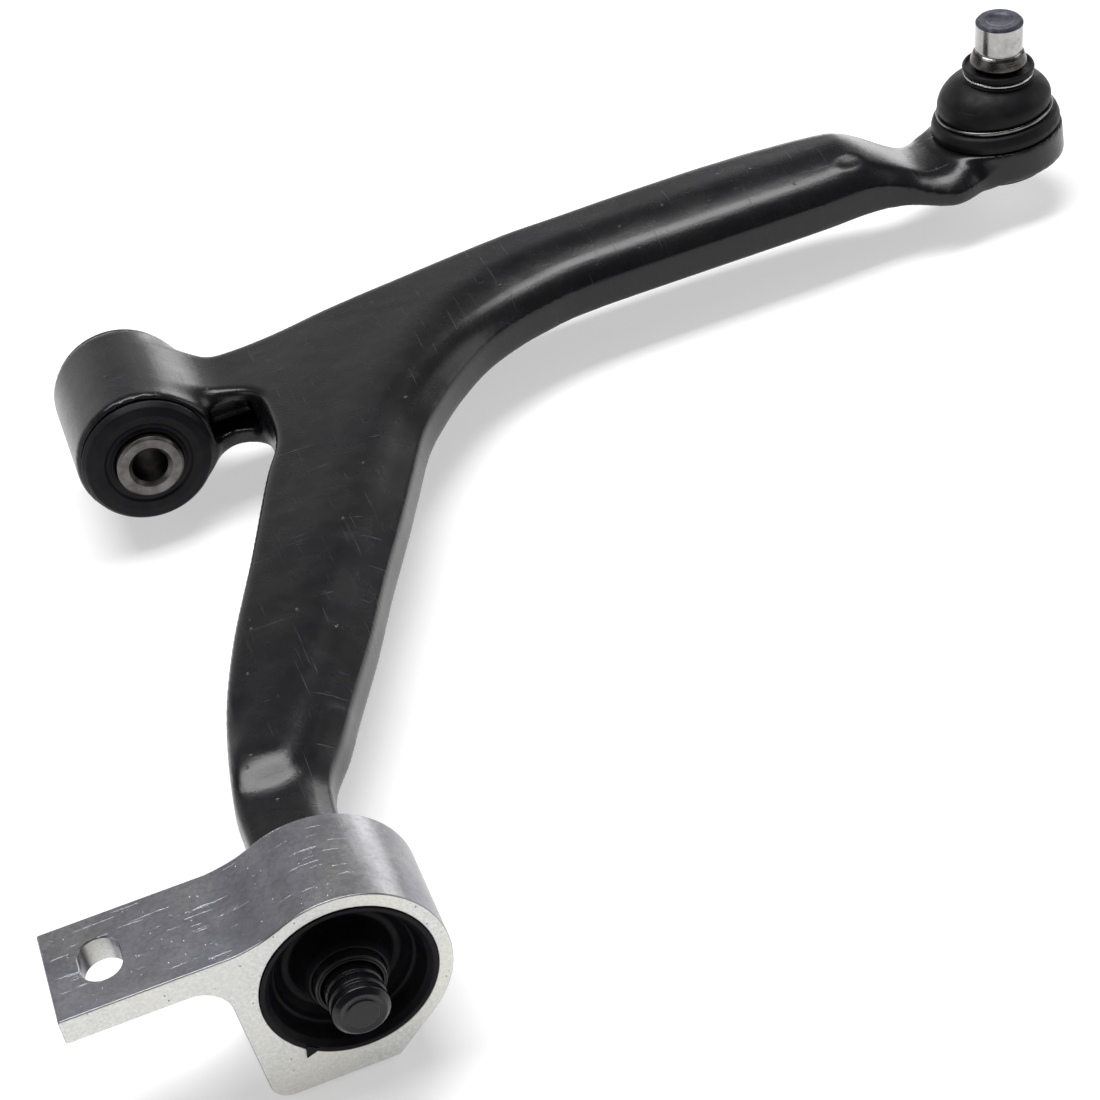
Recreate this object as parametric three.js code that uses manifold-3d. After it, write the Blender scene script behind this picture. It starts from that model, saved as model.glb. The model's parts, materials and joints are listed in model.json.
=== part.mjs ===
// Front lower control arm of a passenger car: an L-shaped cast arm with a transverse rubber bush at
// its front corner, a rubber bush in an aluminium bracket on its rear spigot, and a ball joint with
// a pinch-bolt stud at its outer end.
//
// Units are millimetres. The pivot axis, the line through both bushes, is the Y axis of the group
// called arm. The front bush is centred on that group's origin, +X points out to the ball joint and
// +Z up. The exported group places it with the origin at the bottom centre of the bounding box.
import * as THREE from "three";
import { mergeVertices } from "three/addons/utils/BufferGeometryUtils.js";
import Module from "manifold-3d";

const wasm = await Module();
wasm.setup();

// ---- driving dimensions ---------------------------------------------------------------------

const GAP = 0.3; // between pieces that touch on the real arm
const ROUND = 32; // sides of the large turned pieces
const SMALL_ROUND = 20; // sides of the pieces inside and on the ball joint

const PLATE = { top: 11, bottom: -11, edge: 3, outerEnd: 284, rearEnd: -240 };
const EYE = { outer: 25, bore: 22.3, length: 53, edge: 1 };
const WEB_CORNER = { x: 40, y: -22 }; // where the leg's inner edge turns towards the eye
const NECK = { width: 26, top: 7, bottom: -9, centre: 0.5, front: -230, rear: -266, edge: 3 };
const DROP = { front: 21, rear: -16, start: 268, end: 322, top: -5, bottom: -15, edge: 3 };
const SPIGOT = { radius: 8.2, end: -328.5, edge: 1.2, shoulder: 11.8, shoulderEnd: -274.5, root: -260 };
const SPIGOT_GROOVE = { depth: 0.7, halfWidth: 1, halfFloor: 0.5, fromEnd: [4, 8] };
const BOSS = { outer: 25.2, bore: 21.8, top: -1.5, bottom: -14.2, edge: 1 };

const FRONT_SHELL = { wall: 1.6, length: 51.6 };
const FRONT_SLEEVE = { outer: 12, bore: 6.5, length: 67, edge: 1 };
const FRONT_FLANGE = { radius: 23.8, swell: 3.9, shoulder: 4.5, hubDip: 0.6 };

const BRACKET = {
  front: -278.4,
  rear: -314.4,
  bore: 24.9,
  ring: 29.1,
  plateTop: 22.1,
  plateUnder: 13.9,
  plateEnd: -75.2,
  wallTop: -32.2,
  footLeft: -29.2,
  footRight: 6.8,
  footUnder: -33,
  footCorner: 6,
  earFillet: 10,
  earRoot: -27,
  ringEnd: 118, // degrees round the ring where it leaves for the ear
};
const SLOT = { x: -60.4, y: -296.2, width: 11.6, length: 16.5, cutDepth: 40 };
const REAR_SHELL = { wall: 1.4, inset: 0.8 };
const REAR_RUBBER = { inset: 0.6, lip: 1.6, hub: 1.8, hubDepth: 3.4, dishRear: 10, dishFront: 9 };
const REAR_SLEEVE = { outer: 10.1, bore: 8.5, rear: -317, edge: 0.8 };
const WASHER = { outer: 17, thickness: 1.8 };

const BALL = { x: 349, y: 7, z: -4, radius: 11.5, flat: 8.6 };
const LEAN = { rearward: 4.1, outward: 5.2 }; // degrees, the stud away from the housing's axis
const HOUSING = { flange: 23.2, flangeThickness: 1.8, collar: 19, collarHeight: 3.6, topWall: 2.1 };
const CAVITY = { radius: 14.9, mouth: 11.9, seat: 17.2, rim: 0.8 };
const COVER = { thickness: 1.7, level: -11.5 };
const RACE = { bottom: -7, preloadRing: 1.7 };
const STUD = { head: 9, headUnder: 36, top: 47.5, edge: 0.9, groove: 8.4 };
const SHANK = { neck: 6.5, neckEnd: 13, radius: 8.4, start: 17.5, end: 27.6 };
const SHOULDER = { radius: 10.8, level: 30.6, top: 34.6 };
const BOOT = { wall: 1.9, bead: 24.5, groove: 20.6, dome: 21.6, top: 23.7, foldHeight: 10.6 };
const CUP = { bottom: 20.4, skirt: 10.8, waist: 11.9, outer: 13.7, rim: 28.6, floor: 24.7 };
const INSERT = { outer: 10, top: 24.4 };
const WIRE = { lower: 0.8, upper: 0.65 }; // half the thickness of the boot's retaining rings

const RUBBER = new THREE.MeshStandardMaterial({ color: 0x0e0e0f, roughness: 0.75, metalness: 0 });
const CAST = new THREE.MeshStandardMaterial({ color: 0x18191b, roughness: 0.48, metalness: 0.2 });
const BOOT_RUBBER = new THREE.MeshStandardMaterial({ color: 0x1c1c1f, roughness: 0.6, metalness: 0 });
const STEEL = new THREE.MeshStandardMaterial({ color: 0xb6b4ae, roughness: 0.3, metalness: 1 });
const DARK_STEEL = new THREE.MeshStandardMaterial({ color: 0x3c3c3f, roughness: 0.45, metalness: 0.9 });
const ALUMINIUM = new THREE.MeshStandardMaterial({ color: 0xb9b9bb, roughness: 0.45, metalness: 1 });
const NYLON = new THREE.MeshStandardMaterial({ color: 0xe4e0d2, roughness: 0.5, metalness: 0 });

// ---- helpers --------------------------------------------------------------------------------

const root = new THREE.Group();
const arm = new THREE.Group();
root.add(arm);

// A closed three.js geometry as a manifold-3d solid.
function solid(geometry) {
  const bare = geometry.clone();
  bare.deleteAttribute("normal");
  bare.deleteAttribute("uv");
  const merged = mergeVertices(bare, 1e-3);
  return new wasm.Manifold(
    new wasm.Mesh({
      numProp: 3,
      vertProperties: merged.attributes.position.array,
      triVerts: new Uint32Array(merged.index.array),
    }),
  );
}

// A manifold-3d solid as a three.js geometry.
function geometryOf(body) {
  const mesh = body.getMesh();
  const geometry = new THREE.BufferGeometry();
  geometry.setAttribute("position", new THREE.BufferAttribute(mesh.vertProperties, 3));
  geometry.setIndex(new THREE.BufferAttribute(mesh.triVerts, 1));
  geometry.computeVertexNormals();
  return geometry;
}

// A solid of revolution about Y from a profile of [radius, height] points. A profile that doesn't
// start and end on the axis is closed on itself.
function turned(profile, sides = ROUND) {
  const points = profile.map(([radius, height]) => new THREE.Vector2(radius, height));
  if (THREE.ShapeUtils.isClockWise(points)) points.reverse();
  const onAxis = points[0].x === 0 && points[points.length - 1].x === 0;
  if (!onAxis) points.push(points[0].clone());
  return new THREE.LatheGeometry(points, sides);
}

// The same about Z.
function turnedUpright(profile, sides = SMALL_ROUND) {
  return turned(profile, sides).rotateX(Math.PI / 2);
}

// A tube with chamfered ends, as a profile for turned().
function tubeProfile(inner, outer, low, high, edge = 0) {
  return [
    [inner, low],
    [outer - edge, low],
    [outer, low + edge],
    [outer, high - edge],
    [outer - edge, high],
    [inner, high],
  ];
}

// Points of [radius, height] on a circle round [centreRadius, centreHeight], between two angles.
function arcProfile(centreRadius, centreHeight, radius, fromDegrees, toDegrees, steps) {
  return Array.from({ length: steps + 1 }, (_, i) => {
    const angle = THREE.MathUtils.degToRad(fromDegrees + ((toDegrees - fromDegrees) * i) / steps);
    return [centreRadius + radius * Math.cos(angle), centreHeight + radius * Math.sin(angle)];
  });
}

// A ring of round wire, or of round rubber cord.
function wireProfile(centreRadius, centreHeight, radius) {
  return arcProfile(centreRadius, centreHeight, radius, 0, 300, 5);
}

// A shape drawn in the XZ plane and extruded along Y, from front (the larger y) to rear.
function extrudedAlongPivot(shape, front, rear, edge = 0, curveSegments = 8) {
  const options = { depth: front - rear - 2 * edge, curveSegments, bevelEnabled: edge > 0 };
  Object.assign(options, { bevelSize: edge, bevelOffset: -edge, bevelThickness: edge, bevelSegments: 2 });
  return new THREE.ExtrudeGeometry(shape, options).rotateX(Math.PI / 2).translate(0, front - edge, 0);
}

function addPiece(name, geometry, material, parent = arm) {
  const mesh = new THREE.Mesh(geometry, material);
  mesh.name = name;
  parent.add(mesh);
}

// ---- the cast arm ---------------------------------------------------------------------------

function points(...pairs) {
  return pairs.map(([x, y]) => new THREE.Vector2(x, y));
}

// The plate seen from above: leading edge outwards, then the trailing edge round to the rear end,
// and the inner edge of the leg back to the eye.
function plateOutline() {
  const shape = new THREE.Shape();
  shape.moveTo(10, 14);
  shape.splineThru(points([30, 10.8], [45, 7.3], [69, 9], [103, 18.5], [140, 25], [200, 27], [250, 27],
    [PLATE.outerEnd, 21.5]));
  shape.lineTo(PLATE.outerEnd, -14);
  shape.splineThru(points([261, -12.5], [215, -12], [170, -13], [141, -21], [118, -37], [100, -58],
    [81, -98], [52, -163], [24, -223], [16, PLATE.rearEnd]));
  shape.lineTo(-12.5, PLATE.rearEnd);
  shape.splineThru(points([-11, -226], [-4.5, -196], [6, -163], [21, -123], [36, -81], [42.4, -55],
    [42, -36]));
  shape.quadraticCurveTo(WEB_CORNER.x, WEB_CORNER.y, 26, -21);
  shape.lineTo(10, -20.5);
  return shape;
}

function plate() {
  const { top, bottom, edge } = PLATE;
  const geometry = new THREE.ExtrudeGeometry(plateOutline(), {
    depth: top - bottom - 2 * edge,
    curveSegments: 2,
    bevelSize: edge,
    bevelOffset: -edge,
    bevelThickness: edge,
    bevelSegments: 2,
  });
  return solid(geometry.translate(0, 0, bottom + edge));
}

// The outer end of the beam drops in an S-bend to the lower level of the ball joint's boss.
function outerDrop() {
  const side = new THREE.Shape();
  const bend = (DROP.end - PLATE.outerEnd) / 2;
  side.moveTo(DROP.start, PLATE.top);
  side.lineTo(PLATE.outerEnd, PLATE.top);
  side.bezierCurveTo(PLATE.outerEnd + bend, PLATE.top, DROP.end - bend, DROP.top, DROP.end, DROP.top);
  side.lineTo(BALL.x, DROP.top);
  side.lineTo(BALL.x, BOSS.bottom);
  side.lineTo(DROP.end, DROP.bottom);
  side.bezierCurveTo(DROP.end - bend, DROP.bottom, PLATE.outerEnd + bend, PLATE.bottom, PLATE.outerEnd,
    PLATE.bottom);
  side.lineTo(DROP.start, PLATE.bottom);
  return solid(extrudedAlongPivot(side, DROP.front, DROP.rear, DROP.edge));
}

// The rear end of the leg narrows to a flat neck, then a round shoulder and the bush's spigot.
function rearNeck() {
  const section = new THREE.Shape();
  const left = NECK.centre - NECK.width / 2;
  const right = NECK.centre + NECK.width / 2;
  section.moveTo(left, NECK.bottom);
  section.lineTo(right, NECK.bottom);
  section.lineTo(right, NECK.top);
  section.lineTo(left, NECK.top);
  return solid(extrudedAlongPivot(section, NECK.front, NECK.rear, NECK.edge));
}

function spigot() {
  const { radius, end, edge, shoulder, shoulderEnd, root } = SPIGOT;
  const { depth, halfWidth, halfFloor, fromEnd } = SPIGOT_GROOVE;
  const grooves = fromEnd.flatMap((along) => [
    [radius, end + along - halfWidth],
    [radius - depth, end + along - halfFloor],
    [radius - depth, end + along + halfFloor],
    [radius, end + along + halfWidth],
  ]);
  const profile = [
    [0, end],
    [radius - edge, end],
    [radius, end + edge],
    ...grooves,
    [radius, shoulderEnd],
    [shoulder, shoulderEnd],
    [shoulder, root],
    [0, root],
  ];
  return solid(turned(profile, SMALL_ROUND));
}

function armBody() {
  const eye = solid(turned(tubeProfile(EYE.bore, EYE.outer, -EYE.length / 2, EYE.length / 2, EYE.edge)));
  const eyeBore = solid(new THREE.CylinderGeometry(EYE.bore, EYE.bore, 2 * EYE.length, ROUND));
  const boss = tubeProfile(BOSS.bore, BOSS.outer, BOSS.bottom, BOSS.top, BOSS.edge);
  const bossBore = new THREE.CylinderGeometry(BOSS.bore, BOSS.bore, 4 * EYE.outer, ROUND);
  const atBall = (geometry) => solid(geometry.rotateX(Math.PI / 2).translate(BALL.x, BALL.y, 0));
  const outside = plate().add(eye).add(outerDrop()).add(atBall(turned(boss)));
  const cut = outside.subtract(eyeBore).subtract(atBall(bossBore));
  return geometryOf(cut.add(rearNeck()).add(spigot()));
}

addPiece("arm_body", armBody(), CAST);

// ---- front bush -----------------------------------------------------------------------------

function frontBush() {
  const shellOuter = EYE.bore - GAP;
  const shellInner = shellOuter - FRONT_SHELL.wall;
  const shellEnd = FRONT_SHELL.length / 2;
  const sleeveEnd = FRONT_SLEEVE.length / 2;
  const flangeRoot = EYE.length / 2 + GAP;
  const flangeTop = flangeRoot + FRONT_FLANGE.swell;
  const inner = FRONT_SLEEVE.outer + GAP;
  const upperHalf = [
    [shellInner - GAP, flangeRoot],
    [FRONT_FLANGE.radius - 0.4, flangeRoot],
    [FRONT_FLANGE.radius, flangeRoot + 1.4],
    [FRONT_FLANGE.radius - 1.6, flangeTop - 0.7],
    [FRONT_FLANGE.radius - FRONT_FLANGE.shoulder, flangeTop],
    [inner, flangeTop - FRONT_FLANGE.hubDip],
  ];
  const lowerHalf = upperHalf.map(([radius, height]) => [radius, -height]).reverse();
  addPiece("front_bush_outer_sleeve", turned(tubeProfile(shellInner, shellOuter, -shellEnd, shellEnd)),
    DARK_STEEL);
  addPiece("front_bush_rubber", turned([...lowerHalf, ...upperHalf]), RUBBER);
  addPiece("front_bush_inner_sleeve", turned(
    tubeProfile(FRONT_SLEEVE.bore, FRONT_SLEEVE.outer, -sleeveEnd, sleeveEnd, FRONT_SLEEVE.edge)), STEEL);
}

frontBush();

// ---- rear bush and its bracket --------------------------------------------------------------

// The extrusion's section: a ring with a bolt ear to the left and a foot below.
function bracketSection() {
  const { ring, ringEnd, plateTop, plateUnder, plateEnd, earFillet, earRoot } = BRACKET;
  const { wallTop, footLeft, footRight, footUnder, footCorner } = BRACKET;
  const footAngle = Math.atan2(footUnder, footRight);
  const tangentAngle = footAngle + Math.acos(ring / Math.hypot(footRight, footUnder));
  const endAngle = THREE.MathUtils.degToRad(ringEnd);
  const shape = new THREE.Shape();
  shape.moveTo(plateEnd, plateTop);
  shape.lineTo(plateEnd, plateUnder);
  shape.lineTo(wallTop - earFillet, plateUnder);
  shape.quadraticCurveTo(wallTop, plateUnder, wallTop, plateUnder - earFillet);
  shape.lineTo(footLeft, footUnder + footCorner);
  shape.quadraticCurveTo(footLeft, footUnder, footLeft + footCorner, footUnder);
  shape.lineTo(footRight, footUnder);
  shape.absarc(0, 0, ring, tangentAngle, endAngle, false);
  shape.quadraticCurveTo(earRoot + 7, plateTop + 0.6, earRoot, plateTop);
  return shape;
}

function slotCutter() {
  const straight = (SLOT.length - SLOT.width) / 2;
  const shape = new THREE.Shape();
  shape.absarc(0, straight, SLOT.width / 2, 0, Math.PI, false);
  shape.absarc(0, -straight, SLOT.width / 2, Math.PI, 2 * Math.PI, false);
  const options = { depth: SLOT.cutDepth, bevelEnabled: false, curveSegments: 12 };
  return solid(new THREE.ExtrudeGeometry(shape, options).translate(SLOT.x, SLOT.y, 0));
}

function rearBush() {
  const { bore, front, rear } = BRACKET;
  const block = solid(extrudedAlongPivot(bracketSection(), front, rear, 0, 24));
  const boreCutter = solid(new THREE.CylinderGeometry(bore, bore, 2 * (front - rear), ROUND)
    .translate(0, (front + rear) / 2, 0));
  addPiece("rear_bracket", geometryOf(block.subtract(boreCutter).subtract(slotCutter())), ALUMINIUM);

  const shellOuter = bore - GAP;
  const shellInner = shellOuter - REAR_SHELL.wall;
  addPiece("rear_bush_outer_sleeve",
    turned(tubeProfile(shellInner, shellOuter, rear + REAR_SHELL.inset, front - REAR_SHELL.inset)),
    DARK_STEEL);

  const washerRear = SPIGOT.shoulderEnd - GAP - WASHER.thickness;
  const rubberOuter = shellInner - GAP;
  const rubberInner = REAR_SLEEVE.outer + GAP;
  const middle = (rubberOuter + rubberInner) / 2;
  const { inset, lip, hub, hubDepth, dishRear, dishFront } = REAR_RUBBER;
  addPiece("rear_bush_rubber", turned([
    [rubberOuter, rear + inset],
    [rubberOuter - lip, rear + inset],
    [middle + 2.6, rear + dishRear - 2],
    [middle - 1, rear + dishRear],
    [rubberInner + hub, rear + hubDepth + inset],
    [rubberInner, rear + hubDepth],
    [rubberInner, front - hubDepth],
    [rubberInner + hub, front - hubDepth - inset],
    [middle, front - dishFront],
    [rubberOuter - lip, front - inset],
    [rubberOuter, front - inset],
  ]), RUBBER);
  addPiece("rear_bush_inner_sleeve", turned(
    tubeProfile(REAR_SLEEVE.bore, REAR_SLEEVE.outer, REAR_SLEEVE.rear, washerRear - GAP, REAR_SLEEVE.edge),
    SMALL_ROUND), DARK_STEEL);
  addPiece("rear_stop_washer", turned(
    tubeProfile(REAR_SLEEVE.bore, WASHER.outer, washerRear, washerRear + WASHER.thickness, 0.4),
    SMALL_ROUND), STEEL);
}

rearBush();

// ---- ball joint -----------------------------------------------------------------------------
// Heights here are above the ball's centre, along the housing's axis or the stud's own.

const ballCentre = new THREE.Group();
ballCentre.position.set(BALL.x, BALL.y, BALL.z);
arm.add(ballCentre);

const rearwardLean = new THREE.Group();
rearwardLean.rotation.x = THREE.MathUtils.degToRad(LEAN.rearward);
ballCentre.add(rearwardLean);

const studAxis = new THREE.Group();
studAxis.rotation.y = THREE.MathUtils.degToRad(LEAN.outward);
rearwardLean.add(studAxis);

const bossTop = BOSS.top - BALL.z;
const bossBottom = BOSS.bottom - BALL.z;
const flangeTop = bossTop + GAP + HOUSING.flangeThickness;
const housingTop = flangeTop + HOUSING.collarHeight;
const housingBottom = COVER.level - COVER.thickness - CAVITY.rim;
const cavityTop = housingTop - HOUSING.topWall;

function housing() {
  const barrel = BOSS.bore - GAP;
  const { radius, mouth, seat } = CAVITY;
  addPiece("ball_joint_housing", turnedUpright([
    [seat, housingBottom],
    [barrel - 3.2, housingBottom],
    [barrel - 0.6, bossBottom - 0.3],
    [barrel, bossBottom + 0.6],
    [barrel, bossTop + GAP],
    [HOUSING.flange, bossTop + GAP],
    [HOUSING.flange, flangeTop],
    [HOUSING.collar, flangeTop],
    [HOUSING.collar, housingTop],
    [mouth, housingTop],
    [mouth, cavityTop],
    [radius, cavityTop],
    [radius, COVER.level],
    [seat, COVER.level],
  ], ROUND), DARK_STEEL, ballCentre);
  addPiece("ball_joint_cover", turnedUpright([
    [0, COVER.level - COVER.thickness - GAP],
    [seat - GAP, COVER.level - COVER.thickness - GAP],
    [seat - GAP, COVER.level - GAP],
    [0, COVER.level - GAP],
  ]), STEEL, ballCentre);
}

// The liner that the ball turns in, and the elastic ring that holds it up against the mouth.
function race() {
  const bore = BALL.radius + GAP;
  const outer = CAVITY.radius - GAP;
  const top = cavityTop - GAP;
  const { bottom, preloadRing } = RACE;
  const fromAngle = THREE.MathUtils.radToDeg(Math.asin(bottom / bore));
  const toAngle = THREE.MathUtils.radToDeg(Math.asin(top / bore));
  addPiece("ball_race", turnedUpright([
    [outer, bottom],
    [outer, top],
    ...arcProfile(0, 0, bore, toAngle, fromAngle, 8),
  ]), NYLON, ballCentre);
  const ringCentre = [outer - preloadRing - 2 * GAP, bottom - GAP - preloadRing];
  addPiece("race_preload_ring", turnedUpright(wireProfile(...ringCentre, preloadRing)), RUBBER, ballCentre);
}

function stud() {
  const { head, headUnder, top, edge, groove } = STUD;
  const flatAngle = THREE.MathUtils.radToDeg(Math.asin(-BALL.flat / BALL.radius));
  const neckAngle = THREE.MathUtils.radToDeg(Math.acos(SHANK.neck / BALL.radius));
  addPiece("ball_stud", turnedUpright([
    [0, -BALL.flat],
    ...arcProfile(0, 0, BALL.radius, flatAngle, neckAngle, 10),
    [SHANK.neck, SHANK.neckEnd],
    [SHANK.radius, SHANK.start],
    [SHANK.radius, SHANK.end],
    [SHOULDER.radius - 0.8, SHOULDER.level - 1],
    [SHOULDER.radius, SHOULDER.level],
    [head + 0.4, SHOULDER.top],
    [groove, SHOULDER.top + 0.5],
    [groove, headUnder],
    [head, headUnder],
    [head, top - edge],
    [head - edge, top],
    [5.4, top],
    [4.6, top - 0.8],
    [0, top - 0.8],
  ]), STEEL, studAxis);
}

housing();
race();
stud();

// ---- boot -----------------------------------------------------------------------------------

// Turns the upper part of an upright piece over with the stud, and leaves its base square.
function leanOver(geometry, from, to) {
  const position = geometry.attributes.position;
  const point = new THREE.Vector3();
  const xAxis = new THREE.Vector3(1, 0, 0);
  const yAxis = new THREE.Vector3(0, 1, 0);
  for (let i = 0; i < position.count; i++) {
    point.fromBufferAttribute(position, i);
    const share = THREE.MathUtils.smoothstep(point.z, from, to);
    point.applyAxisAngle(yAxis, share * THREE.MathUtils.degToRad(LEAN.outward));
    point.applyAxisAngle(xAxis, share * THREE.MathUtils.degToRad(LEAN.rearward));
    position.setXYZ(i, point.x, point.y, point.z);
  }
  return geometry;
}

function boot() {
  const { wall, bead, groove, dome, top, foldHeight } = BOOT;
  const base = bossTop + GAP;
  const flangeClear = HOUSING.flange + GAP;
  const collarClear = HOUSING.collar + GAP;
  const profile = [
    [flangeClear, base],
    [bead - 0.3, base],
    [bead, base + 1.6],
    [bead, base + 4],
    [bead - 1.4, base + 5.8],
    [groove, base + 6.2],
    [groove, foldHeight],
    [dome - 0.2, foldHeight + 0.8],
    [dome, 13.6],
    [20.8, 16.6],
    [18.4, 19.8],
    [15.6, 22],
    [13, top],
    [11.1, top],
    [13.6, 21.4],
    [16.6, 18.8],
    [dome - wall - 0.7, 16],
    [dome - wall, 13.4],
    [collarClear, foldHeight],
    [collarClear, flangeTop + GAP],
    [flangeClear, flangeTop + GAP],
  ];
  addPiece("boot", leanOver(turnedUpright(profile, ROUND), foldHeight, top - 1), BOOT_RUBBER, ballCentre);

  const lowerRing = wireProfile(groove + GAP + WIRE.lower, base + 6.6 + WIRE.lower, WIRE.lower);
  addPiece("boot_lower_ring", turnedUpright(lowerRing, ROUND), STEEL, ballCentre);
}

// The cup at the top of the boot, with its lip spread round the stud's shoulder.
function bootCollar() {
  const low = BOOT.top + GAP;
  const { bottom, skirt, waist, outer, rim, floor } = CUP;
  const shankClear = SHANK.radius + GAP;
  addPiece("boot_collar", turnedUpright([
    [INSERT.outer + GAP, bottom],
    [skirt, bottom],
    [skirt, low],
    [outer - 0.4, low],
    [outer - 0.4, low + 0.8],
    [waist, low + 1],
    [waist, low + 2.4],
    [outer - 0.5, low + 2.8],
    [outer, rim - 0.4],
    [outer - 0.5, rim],
    [outer - 1.2, rim],
    [outer - 2.4, floor + 1.5],
    [shankClear, floor + 0.9],
    [shankClear, floor],
    [INSERT.outer + GAP, floor],
  ]), BOOT_RUBBER, studAxis);
  addPiece("boot_collar_insert", turnedUpright(
    tubeProfile(shankClear, INSERT.outer, bottom, INSERT.top)), NYLON, studAxis);
  const upperRing = wireProfile(waist + GAP + WIRE.upper, low + 1.05 + WIRE.upper, WIRE.upper);
  addPiece("boot_upper_ring", turnedUpright(upperRing, ROUND), STEEL, studAxis);
}

boot();
bootCollar();

// ---- the part's frame -----------------------------------------------------------------------

const bounds = new THREE.Box3().setFromObject(root, true);
const centre = bounds.getCenter(new THREE.Vector3());
arm.position.set(-centre.x, -centre.y, -bounds.min.z);

export default root;
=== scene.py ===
"""Looks of a front lower control arm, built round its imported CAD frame.

Lengths are millimetres in the arm's own axes unless a name says otherwise: the origin is the centre
of the front bush, Y is the pivot axis with the rear bush at negative y, +X points out to the ball
joint and +Z up. to_row() turns such points into the frame's metres.
"""

import json
import math

import bmesh
import bpy
import numpy as np
from mathutils import Euler, Matrix, Vector
from mathutils.geometry import tessellate_polygon


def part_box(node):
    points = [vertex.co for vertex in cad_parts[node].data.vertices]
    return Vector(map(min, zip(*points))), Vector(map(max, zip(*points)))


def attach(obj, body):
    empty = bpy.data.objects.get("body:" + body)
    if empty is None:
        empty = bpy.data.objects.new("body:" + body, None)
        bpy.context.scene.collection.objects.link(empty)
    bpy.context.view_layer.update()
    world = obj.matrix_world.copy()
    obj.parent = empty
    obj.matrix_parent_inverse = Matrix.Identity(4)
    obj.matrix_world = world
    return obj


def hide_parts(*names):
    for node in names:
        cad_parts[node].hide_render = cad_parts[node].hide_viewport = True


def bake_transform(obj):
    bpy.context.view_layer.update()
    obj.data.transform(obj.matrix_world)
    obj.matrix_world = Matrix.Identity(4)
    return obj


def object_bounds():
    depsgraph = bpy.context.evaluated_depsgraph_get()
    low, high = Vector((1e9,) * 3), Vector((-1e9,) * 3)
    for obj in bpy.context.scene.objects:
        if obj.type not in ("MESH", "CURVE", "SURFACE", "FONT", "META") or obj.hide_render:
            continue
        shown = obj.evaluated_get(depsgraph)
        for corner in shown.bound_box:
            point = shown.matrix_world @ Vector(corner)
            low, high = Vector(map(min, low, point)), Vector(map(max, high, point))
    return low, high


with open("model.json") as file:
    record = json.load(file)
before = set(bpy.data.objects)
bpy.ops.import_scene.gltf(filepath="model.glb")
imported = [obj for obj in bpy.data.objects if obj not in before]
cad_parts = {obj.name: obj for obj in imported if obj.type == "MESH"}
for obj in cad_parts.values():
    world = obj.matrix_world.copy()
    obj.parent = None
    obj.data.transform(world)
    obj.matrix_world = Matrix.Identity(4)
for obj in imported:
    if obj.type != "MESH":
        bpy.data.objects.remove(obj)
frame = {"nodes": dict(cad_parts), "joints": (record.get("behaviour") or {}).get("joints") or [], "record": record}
CAD_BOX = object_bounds()
MM = 0.001


# ---- places taken from the frame --------------------------------------------------------------


def centre_of(node):
    low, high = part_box(node)
    return (low + high) / 2


PIVOT = centre_of("front_bush_inner_sleeve")
JOINTS = {joint["name"]: joint for joint in frame["joints"]}
BALL = (Vector(JOINTS["ball_stud_spin"]["pos_m"]) - PIVOT) / MM
STUD_AXIS = Vector(JOINTS["ball_stud_spin"]["axis"]).normalized()


def extent(node):
    """A CAD node's lowest and highest corner, in millimetres from the front bush's centre."""
    low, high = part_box(node)
    return (low - PIVOT) / MM, (high - PIVOT) / MM


def to_row(points):
    return np.asarray(points, float) * MM + np.array(PIVOT)


ALONG_PIVOT = Matrix.Rotation(math.radians(-90), 4, "X")
HOUSING_FRAME = Matrix.Translation(BALL)
STUD_FRAME = HOUSING_FRAME @ STUD_AXIS.to_track_quat("Z", "Y").to_matrix().to_4x4()

GAP = 0.3  # between CAD pieces that touch on the real arm
EYE_LENGTH = 53
EYE_RADIUS = 25
EYE_BORE = extent("front_bush_outer_sleeve")[1].x + GAP
BRACKET_LOW, BRACKET_HIGH = extent("rear_bracket")
BRACKET_BORE = extent("rear_bush_outer_sleeve")[1].x + GAP
EAR_TOP = 22.1
EAR_UNDER = 13.9
SPIGOT_END = extent("arm_body")[0].y
BOSS_RADIUS = 25.2
BOSS_BORE = 21.8
BOSS_TOP = -1.5
BOSS_BOTTOM = -14.2
BOOT_BASE = extent("boot")[0].z - BALL.z
HOUSING_LOW, HOUSING_HIGH = extent("ball_joint_housing")
HOUSING_TOP = HOUSING_HIGH.z - BALL.z
HOUSING_BOTTOM = HOUSING_LOW.z - BALL.z
COVER_LEVEL = extent("ball_joint_cover")[1].z - BALL.z


def opening(name):
    """A stated opening's box, in millimetres from the pivot."""
    stated = frame["record"]["physics"]["openings"]
    box = next(o["box_m"] for o in stated if o["name"] == name)
    return [(Vector(corner) - PIVOT) / MM for corner in box]


SLOT_LOW, SLOT_HIGH = opening("bracket_slot")


# ---- mesh helpers -----------------------------------------------------------------------------


def make_piece(name, points, faces, material, crisp=38):
    """A smooth-shaded object from points in millimetres, with edges sharper than crisp degrees kept."""
    mesh = bpy.data.meshes.new(name)
    mesh.from_pydata(to_row(points).tolist(), [], [list(face) for face in faces])
    clean = bmesh.new()
    clean.from_mesh(mesh)
    bmesh.ops.remove_doubles(clean, verts=clean.verts, dist=1e-6)
    bmesh.ops.recalc_face_normals(clean, faces=clean.faces)
    clean.to_mesh(mesh)
    clean.free()
    mesh.materials.append(material)
    shade(mesh, crisp)
    piece = bpy.data.objects.new(name, mesh)
    bpy.context.scene.collection.objects.link(piece)
    return piece


def shade(mesh, crisp):
    mesh.shade_smooth()
    mesh.set_sharp_from_angle(angle=math.radians(crisp))


def moved(points, matrix):
    turn, shift = np.array(matrix.to_3x3()), np.array(matrix.translation)
    return np.asarray(points, float) @ turn.T + shift


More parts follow.
